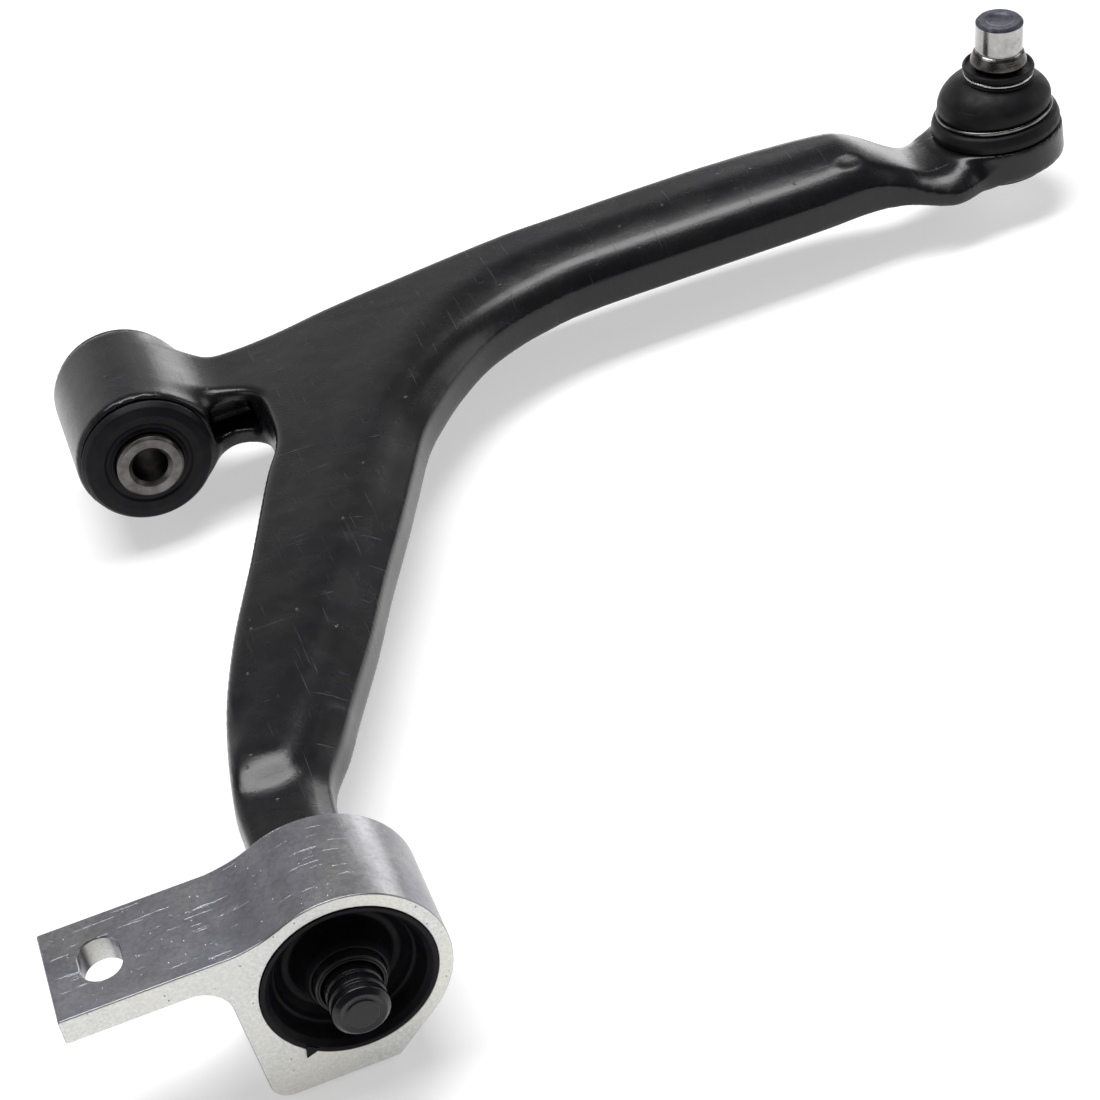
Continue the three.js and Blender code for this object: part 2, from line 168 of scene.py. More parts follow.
def combine(piece, other, operation, crisp=38):
    """Joins another solid to a piece or cuts it away, and removes the other."""
    modifier = piece.modifiers.new(operation, "BOOLEAN")
    modifier.operation = operation
    modifier.solver = "MANIFOLD"
    modifier.object = other
    graph = bpy.context.evaluated_depsgraph_get()
    result = bpy.data.meshes.new_from_object(piece.evaluated_get(graph), depsgraph=graph)
    piece.modifiers.clear()
    piece.data = result
    shade(result, crisp)
    bpy.data.objects.remove(other)
    return piece


def rounded(corners, closed=True, step_degrees=15):
    """A profile whose corners, given as (x, y, radius), are arcs of that radius."""
    line = []
    for i, (x, y, radius) in enumerate(corners):
        here = np.array([x, y], float)
        if radius == 0 or (not closed and i in (0, len(corners) - 1)):
            line.append(here)
            continue
        back = np.array(corners[i - 1][:2], float) - here
        ahead = np.array(corners[(i + 1) % len(corners)][:2], float) - here
        back /= np.linalg.norm(back)
        ahead /= np.linalg.norm(ahead)
        half = math.acos(np.clip(back @ ahead, -1, 1)) / 2
        middle = here + (back + ahead) / np.linalg.norm(back + ahead) * radius / math.sin(half)
        start = here + back * radius / math.tan(half) - middle
        stop = here + ahead * radius / math.tan(half) - middle
        sweep = math.pi - 2 * half
        steps = max(2, math.ceil(sweep / math.radians(step_degrees)))
        for k in range(steps + 1):
            share = k / steps
            spread = (math.sin((1 - share) * sweep) * start + math.sin(share * sweep) * stop)
            line.append(middle + spread / math.sin(sweep))
    return np.array(line)


def through(points, steps=6):
    """A smooth open line through points, as a Catmull-Rom spline."""
    points = np.asarray(points, float)
    count = len(points)
    line = []
    for i in range(count - 1):
        b, c = points[i], points[i + 1]
        a = points[i - 1] if i else 2 * b - c
        d = points[i + 2] if i + 2 < count else 2 * c - b
        for k in range(steps):
            t = k / steps
            line.append(0.5 * (2 * b + (c - a) * t + (2 * a - 5 * b + 4 * c - d) * t**2
                               + (3 * b - a - 3 * c + d) * t**3))
    line.append(points[-1])
    return np.array(line)


def lathe(profile, sides=96, closed=True):
    """Points and faces of a profile of (radius, height) turned about Z."""
    angles = np.arange(sides) * 2 * math.pi / sides
    ring = np.column_stack([np.cos(angles), np.sin(angles)])
    rows = len(profile)
    points = np.vstack([
        np.column_stack([ring * radius, np.full(sides, height)]) for radius, height in profile
    ])
    faces = []
    for row in range(rows if closed else rows - 1):
        low, high = row * sides, (row + 1) % rows * sides
        for side in range(sides):
            after = (side + 1) % sides
            faces.append((low + side, low + after, high + after, high + side))
    return points, faces


def turned(name, corners, place, material, sides=96, closed=True, crisp=38):
    """A turned piece from a profile of (radius, height, corner radius)."""
    points, faces = lathe(rounded(corners, closed), sides, closed)
    return make_piece(name, moved(points, place), faces, material, crisp)


def inset(loop, distance):
    """A closed XZ loop moved inwards, towards its own inside, by a distance."""
    ahead = np.roll(loop, -1, axis=0) - np.roll(loop, 1, axis=0)
    normal = np.column_stack([ahead[:, 1], -ahead[:, 0]])
    normal /= np.linalg.norm(normal, axis=1, keepdims=True)
    area = np.sum(loop[:, 0] * np.roll(loop[:, 1], -1) - np.roll(loop[:, 0], -1) * loop[:, 1])
    return loop - normal * distance * (1 if area > 0 else -1)


def extruded(name, loops, low, high, edge, material, crisp=30):
    """A plate from an outline and its holes in XZ, extruded along Y, with rounded edges."""
    arc = [(edge * (1 - math.sin(a)), edge * (1 - math.cos(a))) for a in np.radians([0, 30, 60, 90])]
    rows = [(low + up, side) for side, up in arc] + [(high - up, side) for side, up in reversed(arc)]
    points, faces, ends = [], [], ([], [])
    for number, loop in enumerate(loops):
        start, size = len(points), len(loop)
        for y, side in rows:
            ring = inset(loop, side if number == 0 else -side)
            points += [(x, y, z) for x, z in ring]
        for row in range(len(rows) - 1):
            for i in range(size):
                a, b = start + row * size + i, start + row * size + (i + 1) % size
                faces.append((a, b, b + size, a + size))
        ends[0].append(list(range(start, start + size)))
        ends[1].append(list(range(start + (len(rows) - 1) * size, start + len(rows) * size)))
    for end in ends:
        order = [i for ring in end for i in ring]
        flat = [[Vector((points[i][0], points[i][2], 0)) for i in ring] for ring in end]
        faces += [tuple(order[k] for k in triangle) for triangle in tessellate_polygon(flat)]
    return make_piece(name, points, faces, material, crisp)


# ---- material helpers -------------------------------------------------------------------------


class Look:
    """A material's node tree, with short calls for what these finishes need. Sizes are millimetres."""

    def __init__(self, name, centre=PIVOT, turn=(0, 0, 0), **sockets):
        self.material = bpy.data.materials.new(name)
        self.material.use_nodes = True
        self.nodes = self.material.node_tree.nodes
        self.links = self.material.node_tree.links
        self.shader = self.nodes["Principled BSDF"]
        self.coordinates = self.node("ShaderNodeTexCoord")
        self.place = self.node("ShaderNodeMapping", {
            "Vector": self.coordinates.outputs["Object"], "Location": centre, "Rotation": turn,
        }, vector_type="TEXTURE").outputs[0]
        for socket, value in sockets.items():
            self.shader.inputs[socket.replace("_", " ")].default_value = value

    def node(self, kind, inputs=None, **settings):
        made = self.nodes.new(kind)
        for setting, value in settings.items():
            setattr(made, setting, value)
        for socket, value in (inputs or {}).items():
            if isinstance(value, bpy.types.NodeSocket):
                self.links.new(value, made.inputs[socket])
            else:
                made.inputs[socket].default_value = value
        return made

    def noise(self, size, detail=4.0, stretch=(1, 1, 1), tilt=(0, 0, 0), roughness=0.6):
        """Noise of a feature size, stretched by whole factors along its own turned axes."""
        place = self.node("ShaderNodeMapping", {
            "Vector": self.place, "Rotation": [math.radians(a) for a in tilt],
            "Scale": [1 / (size * MM * s) for s in stretch],
        }).outputs[0]
        return self.node("ShaderNodeTexNoise", {
            "Vector": place, "Scale": 1.0, "Detail": detail, "Roughness": roughness,
        }).outputs["Fac"]

    def spots(self, size, randomness=1.0):
        """Distance to scattered points, 0 at each."""
        return self.node("ShaderNodeTexVoronoi", {
            "Vector": self.place, "Scale": 1 / (size * MM), "Randomness": randomness,
        }).outputs["Distance"]

    def rings(self, pitch, direction="Z", distortion=0.4):
        """Turning marks round an axis."""
        return self.node("ShaderNodeTexWave", {
            "Vector": self.place, "Scale": 0.314 / (pitch * MM), "Distortion": distortion,
            "Detail": 3.0, "Detail Scale": 1.5,
        }, wave_type="RINGS", rings_direction=direction).outputs["Fac"]

    def spread(self, value, low, high, out_low=0.0, out_high=1.0):
        """Maps a value's range to another, held at its ends."""
        return self.node("ShaderNodeMapRange", {
            "Value": value, "From Min": low, "From Max": high, "To Min": out_low, "To Max": out_high,
        }).outputs[0]

    def math(self, operation, a, b):
        return self.node("ShaderNodeMath", {0: a, 1: b}, operation=operation).outputs[0]

    def mix(self, share, a, b):
        """Colour a turning to colour b as share goes from 0 to 1."""
        made = self.node("ShaderNodeMix", {0: share}, data_type="RGBA")
        for socket, value in ((6, a), (7, b)):
            if isinstance(value, bpy.types.NodeSocket):
                self.links.new(value, made.inputs[socket])
            else:
                made.inputs[socket].default_value = (*value, 1)
        return made.outputs[2]

    def bump(self, *layers):
        """Height layers of (value, height in millimetres), one over the other."""
        normal = None
        for value, height in layers:
            inputs = {"Height": value, "Distance": height * MM, "Strength": 1.0}
            if normal:
                inputs["Normal"] = normal
            normal = self.node("ShaderNodeBump", inputs).outputs[0]
        return normal

    def finish(self, colour, roughness, normal):
        self.links.new(colour, self.shader.inputs["Base Color"])
        self.links.new(roughness, self.shader.inputs["Roughness"])
        self.links.new(normal, self.shader.inputs["Normal"])
        return self.material


def cast_paint():
    """Satin black coating over a cast surface: soft mottling, fine grain, scratches and rubbed edges."""
    look = Look("cast_paint", IOR=1.5, Specular_IOR_Level=0.36)
    mottle = look.spread(look.noise(38, 3), 0.38, 0.64)
    grain = look.noise(0.9, 5)
    streaks = look.spread(look.noise(2.2, 4, (1, 1, 9)), 0.45, 0.75)
    patches = look.spread(look.noise(12, 5), 0.3, 0.72)
    scratch_a = look.spread(look.noise(1.1, 3, (1, 26, 26), (0, 0, 62)), 0.66, 0.72)
    scratch_b = look.spread(look.noise(1.0, 3, (30, 1, 20), (12, 0, 24)), 0.68, 0.73)
    scratch = look.math("MAXIMUM", scratch_a, scratch_b)
    edge = look.node("ShaderNodeNewGeometry").outputs["Pointiness"]
    rubbed = look.math("MULTIPLY", look.spread(edge, 0.53, 0.6), look.spread(look.noise(4, 4), 0.42, 0.62))
    colour = look.mix(mottle, (0.0020, 0.0019, 0.0034), (0.0042, 0.0041, 0.0044))
    colour = look.mix(look.math("MULTIPLY", streaks, 0.25), colour, (0.012, 0.012, 0.014))
    colour = look.mix(look.math("MULTIPLY", scratch, 0.14), colour, (0.045, 0.045, 0.048))
    colour = look.mix(look.math("MULTIPLY", rubbed, 0.4), colour, (0.06, 0.06, 0.062))
    pits = look.spread(look.spots(9), 0.035, 0.075)
    roughness = look.spread(patches, 0, 1, 0.23, 0.30)
    roughness = look.math("ADD", roughness, look.math("MULTIPLY", scratch, 0.1))
    normal = look.bump((look.noise(22, 2), 0.22), (grain, 0.05), (pits, 0.12), (scratch, -0.02))
    return look.finish(colour, roughness, normal)


def rubber(name, dark, light, grain_height=0.04):
    """Moulded rubber with a faint bloom and mould marks."""
    look = Look(name, IOR=1.48, Specular_IOR_Level=0.14)
    bloom = look.spread(look.noise(9, 5), 0.42, 0.7)
    colour = look.mix(bloom, dark, light)
    roughness = look.spread(look.noise(3.5, 5), 0.35, 0.7, 0.40, 0.56)
    specks = look.spread(look.spots(2.6), 0.05, 0.12)
    normal = look.bump((look.noise(0.6, 4), grain_height), (look.noise(6, 3), 0.12), (specks, 0.03))
    return look.finish(colour, roughness, normal)


def aluminium():
    """An extrusion sawn to length: drawn along the pivot axis, sawn and pitted on both ends."""
    look = Look("bracket_aluminium", Metallic=1.0)
    facing = look.node("ShaderNodeSeparateXYZ", {0: look.coordinates.outputs["Normal"]}).outputs["Y"]
    # the faces along the pivot axis, the sawn ends; their lighter colour below is partly painted light
    sawn_and_lit = look.spread(look.math("ABSOLUTE", facing, 0.0), 0.7, 0.9)
    drawn = look.noise(0.7, 4, (1, 40, 1))
    scratch = look.spread(look.noise(0.7, 3, (22, 1, 22), (0, 0, 38)), 0.66, 0.72)
    cloud = look.spread(look.noise(9, 6), 0.25, 0.75)
    tarnish = look.spread(look.noise(1.4, 6), 0.42, 0.66)
    stains = look.spread(look.noise(4.5, 7, roughness=0.75), 0.46, 0.58)
    warmth = look.spread(look.noise(26, 2), 0.42, 0.6)
    sparkle = look.spread(look.spots(3.6), 0.0, 0.07, 1, 0)
    saw_marks = look.noise(0.5, 4, (24, 1, 1), (0, 28, 0))
    speckle = look.spread(look.noise(0.9, 6), 0.35, 0.7)
    pits = look.spread(look.spots(3.2), 0.04, 0.1)
    # the drawn sides' colour, far darker than bare aluminium, is painted shade standing in for the dim
    # surroundings they reflect; tarnish, stains and scratches follow
    side = look.mix(cloud, (0.20, 0.20, 0.232), (0.29, 0.29, 0.315))
    side = look.mix(look.math("MULTIPLY", warmth, 0.5), side, (0.30, 0.295, 0.27))
    side = look.mix(look.math("MULTIPLY", stains, 0.45), side, (0.13, 0.13, 0.15))
    side = look.mix(look.math("MULTIPLY", tarnish, 0.35), side, (0.12, 0.12, 0.14))
    side = look.mix(look.math("MULTIPLY", scratch, 0.2), side, (0.6, 0.6, 0.62))
    side = look.mix(look.math("MULTIPLY", sparkle, 0.7), side, (0.9, 0.9, 0.9))
    # the sawn ends' lighter colour is partly their sawn finish and partly painted light
    end = look.mix(speckle, (0.62, 0.62, 0.60), (0.86, 0.86, 0.845))
    end = look.mix(look.math("MULTIPLY", warmth, 0.35), end, (0.80, 0.78, 0.68))
    end = look.mix(pits, (0.16, 0.15, 0.15), end)
    roughness_side = look.spread(cloud, 0, 1, 0.27, 0.31)
    roughness_end = look.spread(speckle, 0, 1, 0.5, 0.66)
    roughness = look.node("ShaderNodeMix", {0: sawn_and_lit, 2: roughness_side, 3: roughness_end}).outputs[0]
    grain = look.node("ShaderNodeMix", {0: sawn_and_lit, 2: drawn, 3: saw_marks}).outputs[0]
    normal = look.bump((grain, 0.035), (look.noise(0.35, 4), 0.035), (pits, 0.1), (scratch, -0.02))
    return look.finish(look.mix(sawn_and_lit, side, end), roughness, normal)


def turned_steel(name, centre, turn, colours, roughness, pitch=0.35, direction="Z", metallic=1.0,
                 darkened_bands=()):
    """Steel turned on a lathe, with rings round its own axis, stains and fine scratches.

    Each darkened band is a stretch of heights painted in darker colours, painted shade where it lies on the stud's
    shoulder: the heights where it starts and stops, its two colours and its added roughness.
    """
    look = Look(name, centre, turn, Metallic=metallic)
    rings = look.rings(pitch, direction)
    stain = look.spread(look.noise(5, 5), 0.38, 0.68)
    scratch = look.spread(look.noise(0.5, 3, (1, 1, 18), (25, 10, 0)), 0.64, 0.7)
    colour = look.mix(stain, *colours)
    rough = look.math("ADD", look.spread(stain, 0, 1, *roughness), look.math("MULTIPLY", scratch, 0.12))
    # each band paints its stretch of heights darker and rougher; on the stud's shoulder the darkening is painted
    # shade
    for start, stop, dark, light, added in darkened_bands:
        height = look.node("ShaderNodeSeparateXYZ", {0: look.place}).outputs["Z"]
        above = look.spread(height, (start - 0.1) * MM, (start + 0.1) * MM)
        below = look.spread(height, (stop - 0.1) * MM, (stop + 0.1) * MM, 1, 0)
        darkened_band = look.math("MULTIPLY", above, below)
        mottled = look.mix(look.spread(look.noise(2.5, 5), 0.4, 0.65), dark, light)
        colour = look.mix(darkened_band, colour, mottled)
        rough = look.math("ADD", rough, look.math("MULTIPLY", darkened_band, added))
    normal = look.bump((rings, 0.012), (look.noise(0.8, 4), 0.015), (scratch, -0.015))
    return look.finish(colour, rough, normal)


def nylon():
    look = Look("race_nylon", IOR=1.53)
    tint = look.spread(look.noise(6, 3), 0.4, 0.65)
    colour = look.mix(tint, (0.68, 0.66, 0.58), (0.78, 0.76, 0.69))
    roughness = look.spread(look.noise(2, 4), 0.3, 0.7, 0.38, 0.52)
    return look.finish(colour, roughness, look.bump((look.noise(0.8, 3), 0.02)))


STUD_TURN = STUD_FRAME.to_euler()
BALL_ROW = Vector(JOINTS["ball_stud_spin"]["pos_m"])
PIVOT_TURN = Euler((math.radians(-90), 0, 0))
CAST = cast_paint()
BUSH_RUBBER = rubber("bush_rubber", (0.0046, 0.0044, 0.0064), (0.0100, 0.0098, 0.0115))
BOOT_RUBBER = rubber("boot_rubber", (0.0042, 0.0042, 0.0052), (0.0088, 0.0088, 0.0098), 0.02)
ALUMINIUM = aluminium()
SLEEVE_STEEL = turned_steel("sleeve_steel", PIVOT, PIVOT_TURN,
                            ((0.085, 0.08, 0.077), (0.17, 0.162, 0.157)), (0.3, 0.42), 0.45)
# The shoulder's band is painted shade, standing in for the dark surroundings its polished face reflects; the top's
# band is darker and rougher.
STUD_DARKENED_BANDS = (
    (28.9, 34.8, (0.045, 0.043, 0.040), (0.10, 0.097, 0.09), 0.04),
    (46.1, 60.0, (0.040, 0.040, 0.056), (0.090, 0.090, 0.112), 0.28),
)
STUD_STEEL = turned_steel("stud_steel", BALL_ROW, STUD_TURN, ((0.29, 0.28, 0.28), (0.44, 0.43, 0.42)),
                          (0.16, 0.26), 0.3, darkened_bands=STUD_DARKENED_BANDS)
RING_STEEL = turned_steel("ring_steel", BALL_ROW, (0, 0, 0), ((0.28, 0.28, 0.28), (0.5, 0.5, 0.48)),
                          (0.2, 0.32), 0.25)
FOLD_STEEL = turned_steel("fold_ring_steel", BALL_ROW, (0, 0, 0), ((0.10, 0.10, 0.10), (0.19, 0.19, 0.18)),
                          (0.16, 0.24), 0.8)
DARK_STEEL = turned_steel("dark_steel", PIVOT, PIVOT_TURN, ((0.012, 0.012, 0.014), (0.03, 0.03, 0.032)),
                          (0.34, 0.46), 0.4, metallic=0.4)
NYLON = nylon()


# ---- the cast arm -----------------------------------------------------------------------------

PITCH = 1.2  # of the grid that the casting's surface is drawn from
BEAM_TOP, BEAM_BOTTOM = 11.5, -11.0
NECK_TOP, NECK_BOTTOM = 6.8, -9.0
NECK_START, NECK_END = -205, -268  # along y, where it leaves the leg and meets the spigot
DROP_START, DROP_END = 284.0, 322.0  # along x, where the beam steps down to the boss
DROP_TOP, DROP_BOTTOM = -5.0, -15.0
PARTING = 12.2  # the parting line's height above the beam's underside
SPIGOT_SHOULDER = 11.8
EYE_ROUNDING = 1.9
DIMPLE = Vector((285, -1.6))
POCKET = Vector((33.5, -22, 1.2))  # the recess in the web beside the eye

LEADING_EDGE = [(8, 16), (25, 14), (34, 10), (45, 9.7), (55, 10.8), (65, 12.7), (76, 15.4), (86, 17.3),
                (96, 19), (107, 20.6), (117, 22.1), (127.5, 23.6), (138, 25), (149, 26.4), (160, 27.4),
                (180, 27.8), (200, 28), (220, 28.2), (231, 28.2), (241, 27.8), (252, 27.2), (262, 26.2),
                (272, 25.2), (282, 23.4), (291, 20.6), (298, 17.9), (304, 16.2), (311, 16.6), (317, 19.6),
                (324, 23), (349, 24)]
TRAILING_EDGE = [(349, -10), (338, -13.2), (331, -16), (325, -18.4), (319, -19.2), (312, -16.2),
                 (306, -12.6), (300, -11), (292, -10.8), (280, -11.3), (261, -12.1), (215, -12.2),
                 (172, -12.8), (154, -16.4), (141, -21), (127, -29), (114, -41), (103, -54), (92, -70),
                 (80.6, -94.5), (71.2, -115), (57.3, -144), (44.9, -171.8), (32.2, -197.6), (24.5, -214),
                 (16.3, -230), (13.8, -242), (13.2, -254), (13.2, -268)]
INNER_EDGE = [(-13.2, -268), (-13.6, -250), (-13.2, -232), (-8, -200), (2.7, -163), (17.9, -123),
              (33, -81), (39.6, -66), (42.6, -55), (43.5, -42), (43.2, -31), (40, -25), (34, -20.9),
              (27, -18.6), (18, -17.6), (8, -17.6)]


def distance_to(line, x, y):
    """Distance to an open line."""
    squared = np.full(x.shape, np.inf)
    for (x0, y0), (x1, y1) in zip(line[:-1], line[1:]):
        dx, dy = x1 - x0, y1 - y0
        share = np.clip(((x - x0) * dx + (y - y0) * dy) / max(dx * dx + dy * dy, 1e-9), 0, 1)
        squared = np.minimum(squared, (x - x0 - share * dx) ** 2 + (y - y0 - share * dy) ** 2)
    return np.sqrt(squared)


def is_inside(outline, x, y):
    inside = np.zeros(x.shape, bool)
    for (x0, y0), (x1, y1) in zip(outline, np.roll(outline, -1, axis=0)):
        if y0 != y1:
            inside ^= ((y0 > y) != (y1 > y)) & (x < x0 + (x1 - x0) * (y - y0) / (y1 - y0))
    return inside


def smooth_step(value, start, stop):
    share = np.clip((value - start) / (stop - start), 0, 1)
    return share * share * (3 - 2 * share)


def smooth_union(a, b, width):
    share = np.clip(0.5 + 0.5 * (b - a) / width, 0, 1)
    return b + (a - b) * share - width * share * (1 - share)


def smooth_cut(a, b, width):
    """What is inside both a and b, with the edge between them rounded."""
    return -smooth_union(-a, -b, width)


def rounded_pair(across, up, radius):
    """Distance to the corner of two faces, rounded, from the distance to each."""
    p, q = across + radius, up + radius
    outside = np.hypot(np.maximum(p, 0), np.maximum(q, 0))
    return outside + np.minimum(np.maximum(p, q), 0) - radius


def rounded_box(x, y, z, half, radius):
    p = [np.abs(axis) - size + radius for axis, size in zip((x, y, z), half)]
    outside = np.sqrt(sum(np.maximum(axis, 0) ** 2 for axis in p))
    return outside + np.minimum(np.maximum(np.maximum(p[0], p[1]), p[2]), 0) - radius


def lifted(plane):
    """Values on the plan, repeated up the grid."""
    return plane[:, :, None]


def top_level(x, y, to_trailing, in_beam, drop):
    """The height of the casting's upper surface, seen from above."""
    crown = (3.0 + 3.8 * in_beam) * np.maximum(1 - to_trailing / 26, 0) ** 2 * (1 - 0.9 * drop)
    dent = np.hypot((x - DIMPLE.x) / 5.6, (y - DIMPLE.y) / 3.6)
    dimple = 0.6 * (1 - smooth_step(dent, 0.1, 1.1)) - 0.15 * np.exp(-((dent - 1.15) / 0.28) ** 2)
    # the leg's top rolls down in a crescent where it ends, to the level of the flatter neck
    across = x - 3 - 0.42 * np.maximum(y + 226, 0)
    crescent = np.hypot(across, np.minimum(y + 212, 0)) - 25
    roll = (BEAM_TOP - NECK_TOP) * smooth_step(crescent, -15, 3) * smooth_step(-y, 188, 222)
    ramp = 2.6 * drop * (1 - smooth_step(np.hypot(x - BALL.x, y - BALL.y), 26, 42))
    return BEAM_TOP + (DROP_TOP - BEAM_TOP) * drop + ramp - crown - roll + ripple(x, y) - dimple


def ripple(x, y):
    """The slight unevenness of a surface left as cast."""
    return 0.10 * np.sin(x / 17 + 1) * np.sin(y / 23) + 0.07 * np.sin(x / 9 - y / 13)


def cast_body(x, y, z):
    """The beam, the leg and the neck, above and below their parting line."""
    flat_x, flat_y = x[:, :, 0], y[:, :, 0]
    trailing_line = through(TRAILING_EDGE)
    outline = np.vstack([through(LEADING_EDGE), trailing_line, through(INNER_EDGE)])
    to_trailing = distance_to(trailing_line, flat_x, flat_y)
    edge = distance_to(np.vstack([outline, outline[:1]]), flat_x, flat_y)
    trailing = 1 - smooth_step(to_trailing - edge, 0, 8)
    edge = np.where(is_inside(outline, flat_x, flat_y), -edge, edge)

    drop = smooth_step(flat_x, DROP_START, DROP_END)
    in_beam = smooth_step(flat_x, 80, 150)
    at_neck = smooth_step(-flat_y, 212, 240)
    top = top_level(flat_x, flat_y, to_trailing, in_beam, drop)
    bottom = BEAM_BOTTOM + (DROP_BOTTOM - BEAM_BOTTOM) * drop + (NECK_BOTTOM - BEAM_BOTTOM) * at_neck
    parting = lifted(BEAM_BOTTOM + (DROP_BOTTOM - BEAM_BOTTOM) * drop + PARTING - 6 * drop)
    overlap = parting - 3 - z

    # the sides lean in above the parting line, most along the trailing edge
    draft = lifted(0.12 + (0.88 - 0.36 * in_beam) * trailing)
    side = (lifted(edge) + draft * np.maximum(z - parting, 0)) / np.sqrt(1 + draft**2)
    shoulder = lifted(2.2 + 0.8 * trailing + 1.2 * drop)
    upper = np.maximum(rounded_pair(side, z - lifted(top), shoulder), overlap)
    lower = np.maximum(rounded_pair(lifted(edge) - 0.5, lifted(bottom) - z, 2.2), z - parting)
    neck = rounded_pair(side, z - NECK_TOP - lifted(ripple(flat_x, flat_y)), 2.6)
    neck = np.maximum(neck, np.maximum(overlap, lifted(flat_y - NECK_START)))
    body = smooth_union(smooth_union(upper, neck, 1.2), lower, 0.4)
    return np.maximum(body, NECK_END - y)


def casting_field(x, y, z):
    """Signed distance to the cast arm, on a grid."""
    shoulder = rounded_pair(np.hypot(x, z) - SPIGOT_SHOULDER, np.abs(y + 266.5) - 8, 1.2)
    body = smooth_union(cast_body(x, y, z), shoulder, 3)

    past_eye_end = np.abs(y) - EYE_LENGTH / 2
    eye = rounded_pair(np.hypot(x, z) - EYE_RADIUS, past_eye_end, EYE_ROUNDING)
    body = smooth_union(body, eye, 14)
    pocket = rounded_box(x - POCKET.x, y - POCKET.y, z - POCKET.z, (8.3, 10.5, 5.6), 1.6)
    body = smooth_cut(body, -pocket, 1.2)
    near_eye = smooth_cut(body, past_eye_end, EYE_ROUNDING)
    body = np.where((x < 30) & (y > -70), near_eye, body)

    from_ball = np.hypot(x - BALL.x, y - BALL.y)
    boss = rounded_pair(from_ball - BOSS_RADIUS, np.maximum(z - BOSS_TOP, BOSS_BOTTOM - z), 1.1)
    body = smooth_union(body, boss, 5)
    body = np.where(from_ball < BOSS_RADIUS + 2, np.maximum(body, z - BOSS_TOP), body)
    body = np.where(np.abs(y) < EYE_LENGTH, np.maximum(body, EYE_BORE - np.hypot(x, z)), body)
    return np.maximum(body, BOSS_BORE - from_ball)


def surface_of(field, low, pitch):
    """Points and quads on the zero surface of a sampled field, by surface nets."""
    cells = np.array(field.shape) - 1
    inside = field < 0
    owners, crossings, quads = [], [], []
    for axis in range(3):
        near, far = [slice(None)] * 3, [slice(None)] * 3
        near[axis], far[axis] = slice(0, -1), slice(1, None)
        near, far = tuple(near), tuple(far)
        index = np.argwhere(inside[near] != inside[far])
        start, stop = field[near][tuple(index.T)], field[far][tuple(index.T)]
        crossing = index.astype(float)
        crossing[:, axis] += start / (start - stop)
        across, along = (axis + 1) % 3, (axis + 2) % 3
        quad = []
        for step_across, step_along in ((0, 0), (1, 0), (1, 1), (0, 1)):
            cell = index.copy()
            cell[:, across] -= step_across
            cell[:, along] -= step_along
            quad.append(np.ravel_multi_index(tuple(cell.T), tuple(cells)))
            owners.append(quad[-1])
            crossings.append(crossing)
        quad = np.stack(quad, axis=1)
        entering = start > 0
        quad[entering] = quad[entering][:, ::-1]
        quads.append(quad)
    used, owner = np.unique(np.concatenate(owners), return_inverse=True)
    crossings = np.concatenate(crossings)
    count = np.bincount(owner)
    points = np.column_stack([np.bincount(owner, crossings[:, k]) / count for k in range(3)])
    faces = np.searchsorted(used, np.concatenate(quads))
    return points * pitch + low, faces


def cast_arm():
    low, high = extent("arm_body")
    low, high = np.array(low) - 3 * PITCH, np.array(high) + 3 * PITCH
    low[1] = NECK_END - 10 * PITCH
    axes = [np.arange(a, b + PITCH, PITCH) for a, b in zip(low, high)]
    x, y, z = np.meshgrid(*axes, indexing="ij")
    points, faces = surface_of(casting_field(x, y, z), low, PITCH)
    arm = make_piece("arm_casting", points, faces, CAST)
    smooth = arm.modifiers.new("smooth", "SMOOTH")
    smooth.factor = 0.35
    smooth.iterations = 2
    graph = bpy.context.evaluated_depsgraph_get()
    arm.data = bpy.data.meshes.new_from_object(arm.evaluated_get(graph), depsgraph=graph)
    arm.modifiers.clear()
    return combine(arm, spigot(), "UNION", 42)


def spigot():
    """The pin that the rear bush sits on, with two grooves near its end."""
    radius, groove = 8.1, 0.45
    corners = [(0, SPIGOT_END, 0), (4.6, SPIGOT_END, 0.6), (5.0, SPIGOT_END + 0.5, 0.5),
               (radius - 1.5, SPIGOT_END, 0.7), (radius, SPIGOT_END + 1.6, 0.6)]
    for at in (SPIGOT_END + 4.2, SPIGOT_END + 8):
        corners += [(radius, at - 1.1, 0.4), (radius - groove, at - 0.5, 0.3),
                    (radius - groove, at + 0.5, 0.3), (radius, at + 1.1, 0.4)]
    corners += [(radius, NECK_END, 0), (0, NECK_END, 0)]
    return turned("spigot", corners, ALONG_PIVOT, CAST, 64, closed=False)


# ---- front bush -------------------------------------------------------------------------------


def front_bush_rubber():
    high = extent("front_bush_rubber")[1]
    root, top, radius = EYE_LENGTH / 2 + GAP, high.y, high.x
    inner = extent("front_bush_inner_sleeve")[1].x + GAP
    core = EYE_BORE - 2.2
    half = [(core, root - 1, 0), (core + 0.6, root, 0.3), (radius - 0.5, root, 0.4),
            (radius, root + 1.2, 0.8), (radius - 1.6, top - 0.5, 1.4), (radius - 4.8, top, 2.5),
            (inner + 3.6, top - 0.35, 1), (inner + 2.9, top - 1.0, 0.5), (inner + 1.6, top - 1.0, 0.5),
            (inner + 0.9, top - 0.2, 0.5), (inner, top - 0.4, 0.3)]
    other = [(r, -h, c) for r, h, c in reversed(half)]
    return turned("front_bush_elastomer", half + other, ALONG_PIVOT, BUSH_RUBBER, 128)


def front_bush_sleeve():
    high = extent("front_bush_inner_sleeve")[1]
    radius, end, bore = high.x, high.y, 6.5
    half = [(bore, end - 1.6, 0.3), (bore + 1.4, end, 0.25), (radius - 0.9, end, 0.3),
            (radius, end - 0.9, 0.3)]
    other = [(r, -h, c) for r, h, c in reversed(half)]
    return turned("front_bush_sleeve", half + other, ALONG_PIVOT, SLEEVE_STEEL, 96)


# ---- rear bush --------------------------------------------------------------------------------


